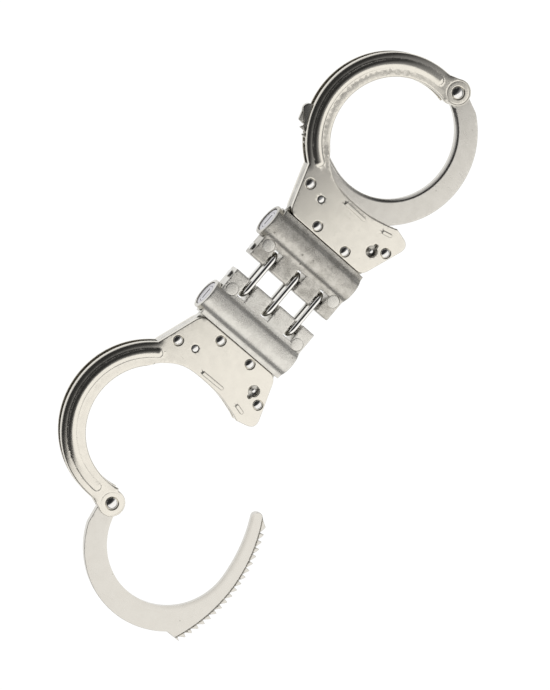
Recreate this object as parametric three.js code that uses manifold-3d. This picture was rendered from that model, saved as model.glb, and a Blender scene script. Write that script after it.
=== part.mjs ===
// Hinged double-lock handcuffs: two ratchet cuffs joined by three oval wire links.
// Units are millimetres, +Z is up and the hinge axis runs along X. Each cuff is drawn in its
// own frame: the hinge lies at y = 0, the cuff reaches towards +Y, and z = 0 is its mid-plane.
// The second cuff is the same part turned half a turn about the hinge axis.
import * as THREE from "three";
import { mergeVertices } from "three/addons/utils/BufferGeometryUtils.js";
import Module from "manifold-3d";

const wasm = await Module();
wasm.setup();

// ---- driving dimensions ----
const slidingGap = 0.3; // between pieces that move past each other
const seatGap = 0.1; // between pieces that are fixed together

// stack through the lock plate
const cheekThickness = 2.6;
const jawThickness = 4.0;
const beadHeight = 0.9;
const beadWidth = 4.8;
const beadBevel = 0.7;
const pipHeight = 0.4;
const pipWidth = 2.2;
const pipsInset = 3.1; // inside the circle of the tooth tips

// hinge
const rodRadius = 2.05;
const rodOverhang = 1.5;
const rodEndWall = 1.6; // metal left beyond the rod's far end
const rodEdgeDistance = 3.9; // from the rod's axis to the block's free edge
const linkWireRadius = 1.6;
const linkPitch = 15.5;
const linkCount = 3;
const middleLinkX = 2.3;
const linkSideRoom = 0.9;
const foldClearance = 0.5; // between the two barrels when the cuffs lie face to face
const grooveDepth = 0.7;
const linkBendSteps = 8; // facets round each end of a link
const linkSides = 10; // facets round the wire

// casting
const castingLeft = -24.3;
const castingRight = 28.0;
const flangeHalfHeight = 4.5;
const flangeChamfer = 0.3;
const flangeRise = 1.05; // from the barrel's side to the cheek's lower edge
const barrelRadius = 8.35;
const barrelLeft = -27.5;
const barrelRight = 28.3;
const blockHalfHeight = 4.9;
const blockChamfer = 0.6;
const notchFloor = 0.55; // web between a link's notch and the barrel
const dowelRadius = 3.2;
const dowelDepth = 2.4;
const dowelInset = [4.5, 3.9]; // from the casting's left and right ends
const dowelRise = 5.3; // from the rod's axis

// cylinder lock in the barrel's left end
const lockWall = 1.75;
const lockShellLength = 21.0;
const lockPlugRadius = 4.3;
const plugTailRadius = 1.6;
const lockFaceInset = 0.4;
const keySlotWidth = 0.9;
const keySlotHeight = 6.2;
const keySlotDepth = 15.0;
const camThickness = 2.4;
const camThrow = 1.3; // the bolt travels by as much
const camRadius = 3.9;
const boltSize = 2.6;
const boltCamGap = 0.4;

// lock plate
const lockPlateDepth = 26.9; // from its lower edge to the wrist opening
const plateLeftX = -22.6;
const plateRightX = 26.5;
const plateTipReach = 8.5; // past the wrist opening's side
const plateTipDrop = 0.8; // below the wrist opening's lowest point
const neckAngle = 235.5;
const plateRootAngle = 219; // where the lock plate's shape ends inside the band
const cornerRounding = 5.5;
const tipCornerRounding = 5.0;
// the edge beside the jaw: degrees about the wrist opening, and how far outside it
const innerEdge = [
  [-45.5, 10.4], [-51.6, 8.7], [-68, 5.2], [-93, 2.9], [-108, 2.7], [-123, 1.5], [-133.5, 0.3], [-139, 0.02],
];

// ring
const wristRadius = 32.4;
const wristCentreX = -4.5;
const bandWidth = 11.9;
const bandOffset = [-2.0, 0.2]; // band circle's centre from the wrist opening's centre
const pivotInset = 2.65; // inside the band's outer edge
const pivotAngle = 75.2;
const lugRadius = 6.8;
const beadStart = 90;
const beadEnd = 238;

// jaw, drawn closed
const jawWidth = 11.6;
const jawInnerOffset = [-3.2, 3.4]; // inner circle's centre from the wrist opening's centre
const jawOuterOffset = [0.7, -1.2]; // outer circle's centre from the inner circle's centre
const jawInnerGrowth = 0.5; // the inner circle's radius over the wrist opening's
const jawLugRadius = 6.4;
const jawRootReach = 18.5; // where the strand leaves the lug, from the pivot
const jawRootAngle = -7.4;
const jawDepth = 8.9; // how far the teeth reach past the wrist opening, into the lock plate
const jawTipWidth = 6.4; // below the teeth, near the tip
const jawTipStart = -107.8; // degrees about the pivot, where the strand begins to narrow
const toothHeight = 2.2;
const toothPitch = 3.87;
const toothCount = 19;
const firstToothAngle = -78.3;
const openJawAngle = 101.5; // the second cuff's jaw stands open by this much

// rivets and pins
const pivotHeadRadius = 3.0;
const pivotShankRadius = 2.0;
const pivotHeadHeight = 1.1;
const lockRivetHeadRadius = 2.35;
const lockRivetShankRadius = 1.5;
const lockRivetHeadHeight = 0.8;
const pawlPinRadius = 1.6;
// places on the lock plate: across, and up from its lower edge
const lockRivetPlaces = { a: [-23.9, 17.1], b: [-7.2, 3.8], c: [12.0, 3.3], d: [28.7, 16.0] };
const pawlPinPlace = [-14.6, 14.8];
const keyPlace = [22.5, 12.0];

// keyway
const keyHoleRadius = 2.7;
const keyTailLength = 4.4;
const keyTailWidth = 1.7;
const keyPostRadius = 1.0;
const keyWebThickness = 1.4;

// mechanism between the cheeks
const pocketFloorRise = 8.3; // up from the plate's lower edge
const pocketRight = 14.5;
const slideHeight = 2.6;
const slideLength = 9.0;
const slideTabRise = 1.0;
const slideLeft = 2.4;
const springThickness = 0.5;
const pawlNoseDepth = 3.6;

// ---- sizes that follow from them ----
const rad = THREE.MathUtils.degToRad;

function polar([x, y], radius, degrees) {
  return [x + radius * Math.cos(rad(degrees)), y + radius * Math.sin(rad(degrees))];
}

const gapHalf = jawThickness / 2 + slidingGap;
const faceZ = gapHalf + cheekThickness;
const coreHalf = gapHalf - seatGap;

const rodY = barrelRadius + foldClearance / 2;
const blockEdge = rodY - rodEdgeDistance;
const linkBend = rodRadius + 0.15 + linkWireRadius;
const notchWidth = 2 * (linkWireRadius + linkSideRoom);
const notchDepthY = rodY + linkBend + linkWireRadius + 2 * slidingGap;
const barrelY = notchDepthY + notchFloor + barrelRadius;
const plateBottom = barrelY + barrelRadius + flangeRise;
const dowelY = rodY + dowelRise;

const lockShellRadius = barrelRadius - lockWall;
const boreRadius = lockShellRadius + seatGap;
const shellRight = barrelLeft + lockFaceInset + lockShellLength;
const camLeft = shellRight + slidingGap;
const boltX = camLeft + camThickness / 2;

const wristCentre = [wristCentreX, plateBottom + lockPlateDepth + wristRadius];
const bandCentre = [wristCentre[0] + bandOffset[0], wristCentre[1] + bandOffset[1]];
const bandRadius = wristRadius + bandWidth - Math.hypot(...bandOffset) / 2;
const bandMiddle = (wristRadius + bandRadius) / 2;
const beadRadius = bandMiddle - 0.2;
const beadRoot = cheekThickness / 2; // how deep a raised feature starts inside the cheek
const jawPivot = polar(bandCentre, bandRadius - pivotInset, pivotAngle);
const neckCorner = polar(bandCentre, bandRadius, neckAngle);
const plateTip = [wristCentre[0] + wristRadius + plateTipReach, wristCentre[1] - wristRadius - plateTipDrop];

const jawInnerRadius = wristRadius + jawInnerGrowth;
const jawInnerCentre = [wristCentre[0] + jawInnerOffset[0], wristCentre[1] + jawInnerOffset[1]];
const jawOuterCentre = [jawInnerCentre[0] + jawOuterOffset[0], jawInnerCentre[1] + jawOuterOffset[1]];
const jawOuterRadius = jawInnerRadius + jawWidth;
const toothTipRadius = jawPivot[1] - (wristCentre[1] - wristRadius) + jawDepth; // about the pivot
const toothStep = THREE.MathUtils.radToDeg(toothPitch / toothTipRadius);
const jawTipAngle = firstToothAngle - toothStep * (toothCount + 1);
const coreClearRadius = toothTipRadius + 2.0;

const onPlate = ([x, rise]) => [x, plateBottom + rise];
const lockRivets = Object.fromEntries(
  Object.entries(lockRivetPlaces).map(([letter, place]) => [letter, onPlate(place)]));
const pawlPin = onPlate(pawlPinPlace);
const keyCentre = onPlate(keyPlace);
const pocketFloorY = plateBottom + pocketFloorRise;
const pocketLeft = pawlPin[0] - 4.2;

// ---- materials ----
const plated = new THREE.MeshStandardMaterial({ color: 0xc9c7c2, roughness: 0.32, metalness: 1 });
const cast = new THREE.MeshStandardMaterial({ color: 0xb4b1ac, roughness: 0.55, metalness: 1 });
const polished = new THREE.MeshStandardMaterial({ color: 0xd4d3d0, roughness: 0.18, metalness: 1 });
const springSteel = new THREE.MeshStandardMaterial({ color: 0x8a8d91, roughness: 0.35, metalness: 1 });
const brass = new THREE.MeshStandardMaterial({ color: 0xb59a58, roughness: 0.4, metalness: 1 });

// ---- solid helpers ----
const capSteps = 5; // facets on a slot's round end
const ringSteps = 26; // facets along the ring's fixed arc
const through = 9; // half-length of tools that cut right through

function solid(geometry) {
  geometry.deleteAttribute("normal");
  geometry.deleteAttribute("uv");
  const merged = mergeVertices(geometry, 1e-4);
  return new wasm.Manifold(new wasm.Mesh({
    numProp: 3,
    vertProperties: new Float32Array(merged.attributes.position.array),
    triVerts: new Uint32Array(merged.index.array),
  }));
}

function mesh(name, body, material) {
  const result = body.getMesh();
  const geometry = new THREE.BufferGeometry();
  geometry.setAttribute("position", new THREE.BufferAttribute(result.vertProperties, 3));
  geometry.setIndex(new THREE.BufferAttribute(result.triVerts, 1));
  geometry.computeVertexNormals();
  const part = new THREE.Mesh(geometry, material);
  part.name = name;
  return part;
}

// a flat shape standing between two heights
function plate(shape, low, high, curveSegments = 24) {
  const geometry = new THREE.ExtrudeGeometry(shape, {
    depth: high - low, bevelEnabled: false, curveSegments,
  });
  return solid(geometry.translate(0, 0, low));
}

function disc([x, y], radius, low, high, segments = 32) {
  const geometry = new THREE.CylinderGeometry(radius, radius, high - low, segments);
  geometry.rotateX(Math.PI / 2);
  return solid(geometry.translate(x, y, (low + high) / 2));
}

function box([x0, y0, z0], [x1, y1, z1]) {
  const geometry = new THREE.BoxGeometry(x1 - x0, y1 - y0, z1 - z0);
  return solid(geometry.translate((x0 + x1) / 2, (y0 + y1) / 2, (z0 + z1) / 2));
}

// a round bar along X
function barX(y, z, radius, left, right, segments = 32) {
  const geometry = new THREE.CylinderGeometry(radius, radius, right - left, segments);
  geometry.rotateZ(Math.PI / 2);
  return solid(geometry.translate((left + right) / 2, y, z));
}

// a profile drawn in (y, z) and swept along X
function sweepX(shape, left, right) {
  const geometry = new THREE.ExtrudeGeometry(shape, {
    depth: right - left, bevelEnabled: false, curveSegments: 8,
  });
  const turn = new THREE.Matrix4().makeBasis(
    new THREE.Vector3(0, 1, 0), new THREE.Vector3(0, 0, 1), new THREE.Vector3(1, 0, 0));
  return solid(geometry.applyMatrix4(turn).translate(left, 0, 0));
}

function join(bodies) {
  return bodies.reduce((whole, body) => whole.add(body));
}

function cut(body, tools) {
  return tools.reduce((rest, tool) => rest.subtract(tool), body);
}

// points along an arc, both ends included
function arcPoints(centre, radius, startDegrees, endDegrees, steps) {
  return Array.from({ length: steps + 1 }, (_, step) => {
    const degrees = startDegrees + ((endDegrees - startDegrees) * step) / steps;
    return new THREE.Vector2(...polar(centre, radius, degrees));
  });
}

// a slot with round ends between two points
function capsule(start, end, width) {
  const along = THREE.MathUtils.radToDeg(Math.atan2(end[1] - start[1], end[0] - start[0]));
  return new THREE.Shape([
    ...arcPoints(end, width / 2, along - 90, along + 90, capSteps),
    ...arcPoints(start, width / 2, along + 90, along + 270, capSteps),
  ]);
}

// a slot with round ends along an arc
function arcBand(centre, radius, width, start, end, steps) {
  return new THREE.Shape([
    ...arcPoints(centre, radius + width / 2, start, end, steps),
    ...arcPoints(polar(centre, radius, end), width / 2, end, end + 180, capSteps).slice(1, -1),
    ...arcPoints(centre, radius - width / 2, end, start, steps),
    ...arcPoints(polar(centre, radius, start), width / 2, start + 180, start + 360, capSteps).slice(1, -1),
  ]);
}

// draws the corner at `at`, rounded, on the way from `from` towards `to`
function roundCorner(shape, from, at, to, radius) {
  const corner = new THREE.Vector2(...at);
  const back = new THREE.Vector2(...from).sub(corner).normalize();
  const ahead = new THREE.Vector2(...to).sub(corner).normalize();
  const half = Math.acos(back.dot(ahead)) / 2;
  const reach = radius / Math.tan(half);
  const first = corner.clone().addScaledVector(back, reach);
  const last = corner.clone().addScaledVector(ahead, reach);
  shape.lineTo(first.x, first.y);
  shape.quadraticCurveTo(corner.x, corner.y, last.x, last.y);
}

// ---- cheek plates ----
function plateInnerEdge() {
  return innerEdge.map(([degrees, outside]) => (
    new THREE.Vector2(...polar(wristCentre, wristRadius + outside, degrees))));
}

function lockPlateShape() {
  const left = [plateLeftX, plateBottom];
  const right = [plateRightX, plateBottom];
  const edge = plateInnerEdge();
  const shape = new THREE.Shape();
  shape.moveTo(...neckCorner);
  roundCorner(shape, neckCorner, left, right, cornerRounding);
  roundCorner(shape, left, right, plateTip, cornerRounding);
  roundCorner(shape, right, plateTip, edge[0].toArray(), tipCornerRounding);
  shape.lineTo(...edge[0].toArray());
  shape.splineThru(edge.slice(1));
  shape.lineTo(...polar(bandCentre, bandRadius - 1, plateRootAngle));
  arcPoints(bandCentre, bandRadius, plateRootAngle, neckAngle, 6).forEach(({ x, y }) => shape.lineTo(x, y));
  return shape;
}

function keyholeTools(low, high) {
  const tailEnd = [keyCentre[0], keyCentre[1] + keyTailLength - keyTailWidth / 2];
  return [
    disc(keyCentre, keyHoleRadius, low, high, 20),
    plate(capsule(keyCentre, tailEnd, keyTailWidth), low, high),
  ];
}

function rivetHoles(radius, low, high) {
  return Object.values(lockRivets).map((place) => disc(place, radius, low, high, 14));
}

function pips(low) {
  const radius = toothTipRadius - pipsInset;
  const long = [polar(jawPivot, radius, -95.2), polar(jawPivot, radius, -86.3)];
  const short = [polar(jawPivot, radius, -77.2), polar(jawPivot, radius, -74.4)];
  return [long, short].map(([start, end]) => plate(capsule(start, end, pipWidth), low, faceZ + pipHeight));
}

function cheek(name) {
  const band = arcBand(bandCentre, bandMiddle, bandRadius - wristRadius + 4, 75, 228, ringSteps);
  const outline = join([
    plate(band, gapHalf, faceZ).intersect(disc(bandCentre, bandRadius, gapHalf - 1, faceZ + 1, 72)),
    disc(jawPivot, lugRadius, gapHalf, faceZ, 28),
  ]).subtract(disc(wristCentre, wristRadius, 0, faceZ + 1, 72));
  const beadCrest = arcBand(bandCentre, beadRadius, beadWidth - 2 * beadBevel, beadStart, beadEnd, ringSteps);
  const bead = new THREE.ExtrudeGeometry(beadCrest, {
    depth: beadHeight - beadBevel + beadRoot,
    bevelThickness: beadBevel,
    bevelSize: beadBevel,
    bevelSegments: 1,
  }).translate(0, 0, faceZ - beadRoot);
  const lockPlate = plate(lockPlateShape(), gapHalf, faceZ, 4);
  const whole = join([outline, lockPlate, solid(bead), ...pips(faceZ - beadRoot)]);
  const holes = [
    disc(jawPivot, pivotShankRadius + seatGap, 0, faceZ + 2, 16),
    disc(pawlPin, pawlPinRadius + seatGap, 0, faceZ + 2, 14),
    ...rivetHoles(lockRivetShankRadius + seatGap, 0, faceZ + 2),
    ...keyholeTools(0, faceZ + 2),
  ];
  return mesh(name, cut(whole, holes), plated);
}

// ---- jaw ----
// drawn about the pivot, in the closed position
function jawShapeOutline() {
  const root = toothTipRadius - toothHeight;
  const shape = new THREE.Shape();
  shape.moveTo(0, 0);
  shape.lineTo(...polar([0, 0], jawLugRadius, 25));
  shape.lineTo(...polar([0, 0], jawRootReach, jawRootAngle));
  shape.absarc(0, 0, toothTipRadius, rad(jawRootAngle), rad(firstToothAngle), true);
  for (let tooth = 0; tooth < toothCount; tooth += 1) {
    const angle = firstToothAngle - tooth * toothStep;
    shape.lineTo(...polar([0, 0], root, angle - 0.25));
    shape.lineTo(...polar([0, 0], toothTipRadius, angle - toothStep + 0.35));
    shape.lineTo(...polar([0, 0], toothTipRadius, angle - toothStep));
  }
  shape.lineTo(...polar([0, 0], root, jawTipAngle));
  shape.lineTo(0, 0);
  return shape;
}

function jaw(name) {
  const half = jawThickness / 2;
  const local = ([x, y]) => [x - jawPivot[0], y - jawPivot[1]];
  const root = toothTipRadius - toothHeight;
  // the teeth stand on a ring about the pivot, which starts with a slanted shoulder
  const toothRing = new THREE.Shape([
    ...arcPoints([0, 0], toothTipRadius + 1, firstToothAngle - 0.2, jawTipAngle, 24),
    ...arcPoints([0, 0], root - jawTipWidth + 0.5, jawTipAngle, firstToothAngle + 3, 24),
  ]);
  const strand = disc(local(jawOuterCentre), jawOuterRadius, -half, half, 90)
    .add(plate(toothRing, -half, half))
    .subtract(disc(local(jawInnerCentre), jawInnerRadius, -half - 1, half + 1, 72));
  const toothed = strand.intersect(plate(jawShapeOutline(), -half, half, 40));
  // the strand narrows a little towards its round tip
  const innerReach = Math.hypot(...local(jawInnerCentre)) + jawInnerRadius;
  const tipInner = root - jawTipWidth;
  const narrowing = Array.from({ length: 13 }, (_, step) => {
    const t = step / 12;
    const radius = innerReach + (tipInner - innerReach) * t ** 1.5;
    return new THREE.Vector2(...polar([0, 0], radius, jawTipStart + (jawTipAngle - jawTipStart) * t));
  });
  const hollow = new THREE.Shape([
    ...narrowing,
    ...arcPoints([0, 0], tipInner, jawTipAngle - 4, jawTipAngle - 12, 2),
    ...arcPoints([0, 0], root / 2, jawTipAngle - 12, jawTipStart + 20, 2),
  ]);
  const tipRound = disc(polar([0, 0], root - jawTipWidth / 2, jawTipAngle), jawTipWidth / 2, -half, half, 24);
  const lug = disc([0, 0], jawLugRadius, -half, half, 40);
  const whole = join([toothed.subtract(plate(hollow, -half - 1, half + 1)), tipRound, lug]);
  const pivotHole = disc([0, 0], pivotShankRadius + slidingGap / 2, -half - 1, half + 1, 24);
  return mesh(name, whole.subtract(pivotHole), plated);
}

// ---- rivets and pins ----
// a shank with a domed head at each end
function rivet(name, place, shankRadius, headRadius, headHeight, material) {
  const headFoot = faceZ + seatGap / 2;
  const profile = [new THREE.Vector2(0, -headFoot - headHeight)];
  const steps = 3;
  for (let step = 1; step <= steps; step += 1) {
    const angle = (step / steps) * Math.PI / 2;
    profile.push(new THREE.Vector2(headRadius * Math.sin(angle), -headFoot - headHeight * Math.cos(angle)));
  }
  profile.push(new THREE.Vector2(shankRadius, -headFoot));
  const mirrored = profile.map((point) => new THREE.Vector2(point.x, -point.y)).reverse();
  const geometry = new THREE.LatheGeometry([...profile, ...mirrored], 18).rotateX(Math.PI / 2);
  return mesh(name, solid(geometry.translate(...place, 0)), material);
}

function pin(name, place, radius, halfLength, material) {
  return mesh(name, disc(place, radius, -halfLength, halfLength, 16), material);
}

// ---- casting: core between the cheeks, flange, barrel and link block ----
function coreShape() {
  const left = [plateLeftX, plateBottom];
  const right = [plateRightX, plateBottom];
  const footY = barrelY + barrelRadius / 2;
  const shape = new THREE.Shape();
  shape.moveTo(...neckCorner);
  roundCorner(shape, neckCorner, [plateLeftX - 1, plateBottom + 3], [plateLeftX, footY], 1);
  shape.lineTo(plateLeftX, footY);
  shape.lineTo(plateRightX, footY);
  shape.lineTo(...right);
  roundCorner(shape, right, plateTip, [left[0], plateTip[1] + 6], tipCornerRounding);
  shape.lineTo(plateTip[0] - 12, plateTip[1] + 4);
  shape.lineTo(neckCorner[0] + 6, neckCorner[1] + 6);
  return shape;
}

// one side of the neck between the barrel and a flat, with its fillet
function neckProfile(farY, halfHeight, chamfer) {
  const side = Math.sign(farY - barrelY);
  const onBarrel = rad(47);
  const startY = barrelY + side * barrelRadius * Math.cos(onBarrel);
  const startZ = barrelRadius * Math.sin(onBarrel) - 0.02;
  const flatY = barrelY + side * (barrelRadius + 0.1);
  const bendY = barrelY + side * (barrelRadius * Math.cos(onBarrel) + 0.9);
  const shape = new THREE.Shape();
  shape.moveTo(barrelY, startZ - 2);
  shape.lineTo(startY, startZ);
  shape.quadraticCurveTo(bendY, halfHeight, flatY, halfHeight);
  shape.lineTo(farY - side * chamfer, halfHeight);
  shape.lineTo(farY, halfHeight - chamfer);
  shape.lineTo(farY, -halfHeight + chamfer);
  shape.lineTo(farY - side * chamfer, -halfHeight);
  shape.lineTo(flatY, -halfHeight);
  shape.quadraticCurveTo(bendY, -halfHeight, startY, -startZ);
  shape.lineTo(barrelY, -startZ + 2);
  return shape;
}

// where the pawl, its spring and the slide work
function mechanismPocket() {
  const top = jawPivot[1] - toothTipRadius + 4;
  return box([pocketLeft, pocketFloorY, -coreHalf - 1], [pocketRight, top, coreHalf + 1]);
}

function keyPocket() {
  const keyRoom = keyHoleRadius + 2.4;
  return [
    disc(keyCentre, keyRoom, keyWebThickness / 2, coreHalf + 1, 18),
    disc(keyCentre, keyRoom, -coreHalf - 1, -keyWebThickness / 2, 18),
    disc(keyCentre, keyPostRadius + seatGap, -coreHalf, coreHalf, 12),
  ];
}

function linkXs() {
  const middle = (linkCount - 1) / 2;
  return Array.from({ length: linkCount }, (_, index) => middleLinkX + (index - middle) * linkPitch);
}

function dowelPlaces() {
  return [castingLeft + dowelInset[0], castingRight - dowelInset[1]].map((x) => [x, dowelY]);
}

function casting(name) {
  const jawRoom = disc(jawPivot, coreClearRadius, -through, through, 90);
  const body = join([
    plate(coreShape(), -coreHalf, coreHalf, 4).subtract(jawRoom),
    sweepX(neckProfile(plateBottom - slidingGap, flangeHalfHeight, flangeChamfer), castingLeft, castingRight),
    sweepX(neckProfile(blockEdge, blockHalfHeight, blockChamfer), castingLeft, castingRight),
    barX(barrelY, 0, barrelRadius, barrelLeft, barrelRight, 44),
  ]);
  const dowelFloor = blockHalfHeight - dowelDepth - seatGap;
  const notches = linkXs().map((x) => box(
    [x - notchWidth / 2, blockEdge - 1, -through], [x + notchWidth / 2, notchDepthY, through]));
  const dowelHoles = dowelPlaces().flatMap((place) => [
    disc(place, dowelRadius + seatGap, dowelFloor, through, 20),
    disc(place, dowelRadius + seatGap, -through, -dowelFloor, 20),
  ]);
  const boltRoom = boltSize / 2 + slidingGap / 2;
  const rodEnd = castingRight - rodEndWall;
  const tools = [
    mechanismPocket(),
    ...keyPocket(),
    disc(pawlPin, pawlPinRadius + seatGap, -through, through, 14),
    ...rivetHoles(lockRivetShankRadius + seatGap, -through, through),
    ...notches,
    ...dowelHoles,
    barX(barrelY, 0, boreRadius, barrelLeft - 1, camLeft + camThickness + slidingGap, 32),
    barX(rodY, 0, rodRadius + seatGap, castingLeft - 1, rodEnd, 20),
    box([boltX - boltRoom, rodY, -boltRoom], [boltX + boltRoom, barrelY, boltRoom]),
  ];
  return mesh(name, cut(body, tools), cast);
}

// ---- ratchet pawl, its spring and the double-lock slide ----
function pawl(name) {
  const half = jawThickness / 2 - 0.1;
  const crest = toothTipRadius + slidingGap + 0.1;
  const root = crest + toothHeight * 0.75;
  const shape = new THREE.Shape();
  const noseAngle = -86.5;
  const teeth = 4;
  shape.moveTo(pawlPin[0] - 1, pawlPin[1] - 2.6);
  shape.lineTo(...polar(jawPivot, crest + pawlNoseDepth, noseAngle - 1));
  shape.lineTo(...polar(jawPivot, crest + pawlNoseDepth - 1.5, noseAngle));
  shape.lineTo(...polar(jawPivot, crest, noseAngle));
  for (let tooth = 0; tooth < teeth; tooth += 1) {
    const angle = noseAngle - tooth * toothStep;
    shape.lineTo(...polar(jawPivot, root, angle - toothStep + 0.3));
    shape.lineTo(...polar(jawPivot, tooth < teeth - 1 ? crest : root, angle - toothStep));
  }
  shape.lineTo(...polar(jawPivot, root + 1.4, noseAngle - (teeth + 1.5) * toothStep));
  shape.lineTo(pawlPin[0] + 1, pawlPin[1] + 3.0);
  const body = join([plate(shape, -half, half, 8), disc(pawlPin, 3.1, -half, half, 24)]);
  const pinHole = disc(pawlPin, pawlPinRadius + slidingGap / 2, -through, through, 20);
  return mesh(name, body.subtract(pinHole), plated);
}

// a bent leaf standing on the pocket's floor below the pawl
function pawlSpring(name) {
  const floor = pocketFloorY + 0.1;
  const start = pawlPin[0] + 1.2;
  const shape = new THREE.Shape();
  shape.moveTo(start, floor);
  shape.lineTo(start + 6.5, floor);
  shape.quadraticCurveTo(start + 8.6, floor + 0.1, start + 9.4, floor + 1.6);
  shape.lineTo(start + 9.4 - springThickness, floor + 1.7);
  shape.quadraticCurveTo(start + 8.2, floor + springThickness, start + 6.4, floor + springThickness);
  shape.lineTo(start, floor + springThickness);
  return mesh(name, plate(shape, -1.4, 1.4, 6), springSteel);
}

function doubleLockSlide(name) {
  const floor = pocketFloorY + 0.1;
  const bar = box([slideLeft, floor, -1.7], [slideLeft + slideLength, floor + slideHeight, 1.7]);
  const tabLeft = slideLeft + slideLength - 2;
  const tab = box([tabLeft, floor + 0.4, -1.2], [tabLeft + 2, floor + slideHeight + slideTabRise, 1.2]);
  return mesh(name, bar.add(tab), plated);
}

// a small arched detent leaf that holds the slide at either end
function slideSpring(name) {
  const shape = new THREE.Shape();
  const left = pocketRight - 0.7;
  const floor = pocketFloorY + 0.1;
  shape.moveTo(left, floor);
  shape.lineTo(left + springThickness, floor);
  shape.lineTo(left + springThickness, floor + 6);
  shape.lineTo(left, floor + 6);
  return mesh(name, plate(shape, -1.2, 1.2), springSteel);
}

// ---- cylinder lock ----
function lockShell(name) {
  const left = barrelLeft + lockFaceInset;
  const body = barX(barrelY, 0, lockShellRadius, left, shellRight, 32);
  const plugRoom = barX(barrelY, 0, lockPlugRadius + slidingGap / 2, left - 1, shellRight + 1, 32);
  return mesh(name, body.subtract(plugRoom), polished);
}

function lockPlug(name) {
  const left = barrelLeft + lockFaceInset;
  const body = join([
    barX(barrelY, 0, lockPlugRadius, left, shellRight - 0.5, 32),
    barX(barrelY, 0, plugTailRadius, shellRight - 0.6, camLeft + camThickness, 20),
  ]);
  const slot = box(
    [left - 1, barrelY - keySlotHeight / 2, -keySlotWidth / 2],
    [left + keySlotDepth, barrelY + keySlotHeight / 2, keySlotWidth / 2]);
  return mesh(name, body.subtract(slot), brass);
}

// an eccentric disc on the plug's tail, holding the bolt in the rod's groove
function lockCam(name) {
  const body = barX(barrelY - camThrow, 0, camRadius, camLeft, camLeft + camThickness, 24);
  const tailHole = barX(barrelY, 0, plugTailRadius + seatGap, camLeft - 1, camLeft + camThickness + 1, 20);
  return mesh(name, body.subtract(tailHole), springSteel);
}

function rodBolt(name) {
  const far = rodY + rodRadius - grooveDepth + 0.2;
  const near = barrelY - camRadius - camThrow - boltCamGap;
  const half = boltSize / 2;
  return mesh(name, box([boltX - half, far, -half], [boltX + half, near, half]), springSteel);
}

// ---- hinge ----
function linkRod(name) {
  const left = castingLeft - rodOverhang;
  const right = castingRight - rodEndWall - slidingGap;
  const grooveHalf = boltSize / 2 + slidingGap;
  const rod = barX(rodY, 0, rodRadius, left, right, 20);
  const sleeve = barX(rodY, 0, rodRadius + 1, boltX - grooveHalf, boltX + grooveHalf, 20);
  const waist = barX(rodY, 0, rodRadius - grooveDepth, boltX - grooveHalf - 1, boltX + grooveHalf + 1, 20);
  return mesh(name, rod.subtract(sleeve.subtract(waist)), polished);
}

// an oval ring of round wire standing across the hinge
function wireLink(name, x) {
  const bend = (y, start) => arcPoints([y, 0], linkBend, start, start - 180, linkBendSteps)
    .map((point) => new THREE.Vector3(x, point.x, point.y));
  const points = [...bend(rodY, 90), ...bend(-rodY, -90)];
  const vertices = [];
  const triangles = [];
  points.forEach((centre, ring) => {
    const middleY = Math.sign(centre.y) * rodY;
    const outward = new THREE.Vector3(0, centre.y - middleY, centre.z).normalize();
    for (let side = 0; side < linkSides; side += 1) {
      const angle = (side / linkSides) * 2 * Math.PI;
      vertices.push(
        centre.x + linkWireRadius * Math.sin(angle),
        centre.y + outward.y * linkWireRadius * Math.cos(angle),
        centre.z + outward.z * linkWireRadius * Math.cos(angle));
      const nextRing = (ring + 1) % points.length;
      const nextSide = (side + 1) % linkSides;
      const [a, b] = [ring * linkSides + side, ring * linkSides + nextSide];
      const [c, d] = [nextRing * linkSides + side, nextRing * linkSides + nextSide];
      triangles.push(a, b, c, b, d, c);
    }
  });
  const geometry = new THREE.BufferGeometry();
  geometry.setAttribute("position", new THREE.BufferAttribute(new Float32Array(vertices), 3));
  geometry.setIndex(triangles);
  return mesh(name, solid(geometry), polished);
}

// ---- one whole cuff ----
function cuff(prefix, jawAngle) {
  const group = new THREE.Group();
  const rear = cheek(`${prefix}_cheek_rear`);
  rear.geometry.scale(1, 1, -1);
  rear.geometry.index.array.reverse(); // keeps the mirrored faces pointing out
  const swinging = jaw(`${prefix}_jaw`);
  swinging.position.set(...jawPivot, 0);
  swinging.rotation.z = rad(jawAngle);
  const lockRivet = (letter, place) => rivet(
    `${prefix}_lock_rivet_${letter}`,
    place,
    lockRivetShankRadius,
    lockRivetHeadRadius,
    lockRivetHeadHeight,
    polished,
  );
  const rivets = Object.entries(lockRivets).map(([letter, place]) => lockRivet(letter, place));
  const dowels = dowelPlaces().flatMap((place, index) => {
    const inner = blockHalfHeight - dowelDepth;
    const side = index === 0 ? "left" : "right";
    return [
      mesh(`${prefix}_dowel_${side}_front`, disc(place, dowelRadius, inner, blockHalfHeight, 20), plated),
      mesh(`${prefix}_dowel_${side}_rear`, disc(place, dowelRadius, -blockHalfHeight, -inner, 20), plated),
    ];
  });
  group.add(
    casting(`${prefix}_casting`),
    cheek(`${prefix}_cheek_front`),
    rear,
    swinging,
    rivet(`${prefix}_pivot_rivet`, jawPivot, pivotShankRadius, pivotHeadRadius, pivotHeadHeight, polished),
    ...rivets,
    pin(`${prefix}_pawl_pin`, pawlPin, pawlPinRadius, faceZ + 0.15, polished),
    pin(`${prefix}_key_post`, keyCentre, keyPostRadius, faceZ - 0.4, polished),
    pawl(`${prefix}_pawl`),
    pawlSpring(`${prefix}_pawl_spring`),
    doubleLockSlide(`${prefix}_double_lock_slide`),
    slideSpring(`${prefix}_slide_spring`),
    lockShell(`${prefix}_lock_shell`),
    lockPlug(`${prefix}_lock_plug`),
    lockCam(`${prefix}_lock_cam`),
    rodBolt(`${prefix}_rod_bolt`),
    linkRod(`${prefix}_link_rod`),
    ...dowels,
  );
  return group;
}

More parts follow.
